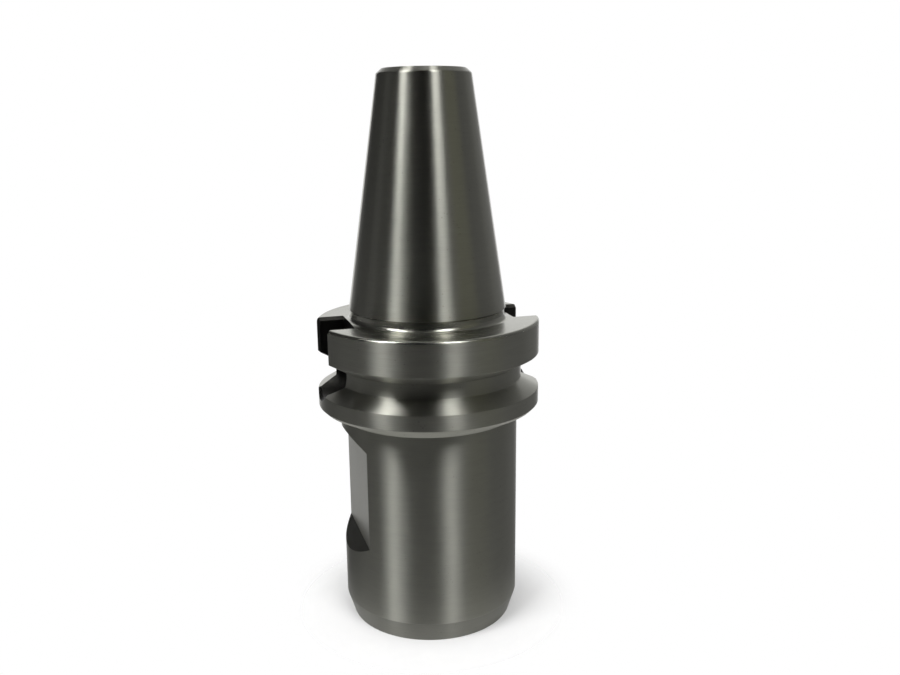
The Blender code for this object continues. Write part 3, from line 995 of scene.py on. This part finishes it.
def blend_colours(tree, factor, first, second):
    """Mix two colours, given as sockets; gives the Mix node's output."""
    node = tree.nodes.new("ShaderNodeMix")
    node.data_type = "RGBA"
    tree.links.new(factor, node.inputs["Factor"])
    tree.links.new(first, node.inputs["A"])
    tree.links.new(second, node.inputs["B"])
    return node.outputs["Result"]


def window(tree, value, outside_low, low, high, outside_high):
    """1 from low to high and 0 outside, with eased edges."""
    return math_node(tree, "MULTIPLY", ease(tree, value, outside_low, low),
                     ease(tree, value, high, outside_high, 1.0, 0.0))


deselect()
bpy.ops.mesh.primitive_uv_sphere_add(segments=64, ring_count=32, radius=2.0, location=(0, 0, 0))
studio = bpy.context.object
studio.name = "studio_wall"


def behind(place):
    """True where the white background stands, behind the holder as the camera sees it."""
    bearing = math.degrees(math.atan2(place.x, -place.y) + HOLDER_TURN)
    return abs((bearing + 180.0) % 360.0 - 180.0) >= OPEN_FROM


bpy.ops.object.mode_set(mode="EDIT")
opened = pick(studio, "FACE", behind)
bpy.ops.mesh.delete(type="FACE")
bpy.ops.object.mode_set(mode="OBJECT")
print("wall opened behind the holder by", opened, "faces")
material = bpy.data.materials.new("studio wall")
material.use_nodes = True
tree = material.node_tree
tree.nodes.clear()
place = tree.nodes.new("ShaderNodeTexCoord").outputs["Object"]
turned = tree.nodes.new("ShaderNodeMapping")
turned.inputs["Rotation"].default_value = (0.0, 0.0, HOLDER_TURN)
tree.links.new(place, turned.inputs["Vector"])
direction = tree.nodes.new("ShaderNodeVectorMath")
direction.operation = "NORMALIZE"
tree.links.new(turned.outputs[0], direction.inputs[0])
split = tree.nodes.new("ShaderNodeSeparateXYZ")
tree.links.new(direction.outputs[0], split.inputs[0])
right, away, up = split.outputs
towards = math_node(tree, "MULTIPLY", away, -1.0)
bearing = math_node(tree, "DEGREES", math_node(tree, "ARCTAN2", right, towards))
wall = ramp(tree, bearing, WALL, -180.0, 180.0)
in_front = window(tree, bearing, -45.0, -24.0, 10.0, 40.0)
side_tone = ease(tree, up, -0.95, -0.35, 0.62 / BRIGHTEST, 0.19 / BRIGHTEST)
front_tone = ease(tree, up, -0.95, -0.25, 0.62 / BRIGHTEST, 0.0)
table = blend_colours(tree, in_front, side_tone, front_tone)
back_left = window(tree, bearing, -174.0, -162.0, -148.0, -132.0)
back_tone = ease(tree, up, -0.6, -0.3, 0.2 / BRIGHTEST, 0.38 / BRIGHTEST)
table = blend_colours(tree, back_left, table, back_tone)
room = tree.nodes.new("ShaderNodeEmission")
room.inputs["Strength"].default_value = BRIGHTEST
tree.links.new(blend_colours(tree, ease(tree, up, -0.08, 0.02), table, wall), room.inputs["Color"])
left_glow = math_node(tree, "MULTIPLY", window(tree, bearing, *LEFT_BOX), LEFT_BOX_STRENGTH)
right_glow = math_node(tree, "MULTIPLY", window(tree, bearing, *RIGHT_BOX), RIGHT_BOX_STRENGTH)
boxes = math_node(tree, "ADD", left_glow, right_glow)
glow = math_node(tree, "MULTIPLY", boxes, window(tree, up, *BOX_HEIGHTS))
lamps = tree.nodes.new("ShaderNodeEmission")
tree.links.new(glow, lamps.inputs["Strength"])
both = tree.nodes.new("ShaderNodeAddShader")
tree.links.new(room.outputs[0], both.inputs[0])
tree.links.new(lamps.outputs[0], both.inputs[1])
output = tree.nodes.new("ShaderNodeOutputMaterial")
tree.links.new(both.outputs[0], output.inputs["Surface"])
material.cycles.emission_sampling = "NONE"
studio.data.materials.append(material)
studio.visible_camera = False
studio.visible_diffuse = False
studio.visible_shadow = False
studio.visible_transmission = False
print("studio wall", len(WALL), "tones and 2 soft boxes")

# %% [markdown]
# ## Lamps
#
# Two large area lamps at the left and the right light the floor and give the soft shadow on it.
# Shiny surfaces don't mirror them, because the wall has the soft boxes.

# %% Lamps
LAMP_SIZE = 0.5
LAMP_DISTANCE = 0.8
LAMP_HEIGHT = 0.7


def make_lamp(name, degrees, watts):
    """A square area lamp at a bearing from the camera's direction, aimed at the holder."""
    data = bpy.data.lights.new(name, "AREA")
    data.size = LAMP_SIZE
    data.energy = watts
    lamp = bpy.data.objects.new(name, data)
    bpy.context.scene.collection.objects.link(lamp)
    angle = math.radians(degrees) - HOLDER_TURN
    lamp.location = (
        LAMP_DISTANCE * math.sin(angle), -LAMP_DISTANCE * math.cos(angle), LAMP_HEIGHT)
    aim = Vector((0.0, 0.0, TOP_Z / 2.0)) - lamp.location
    lamp.rotation_euler = aim.to_track_quat("-Z", "Y").to_euler()
    lamp.visible_glossy = False
    lamp.visible_camera = False


make_lamp("left lamp", -48.0, 7.0)
make_lamp("right lamp", 26.0, 5.0)
print("lamps", [lamp.name for lamp in bpy.data.lights])

# %% Update the finished model
bpy.context.view_layer.update()
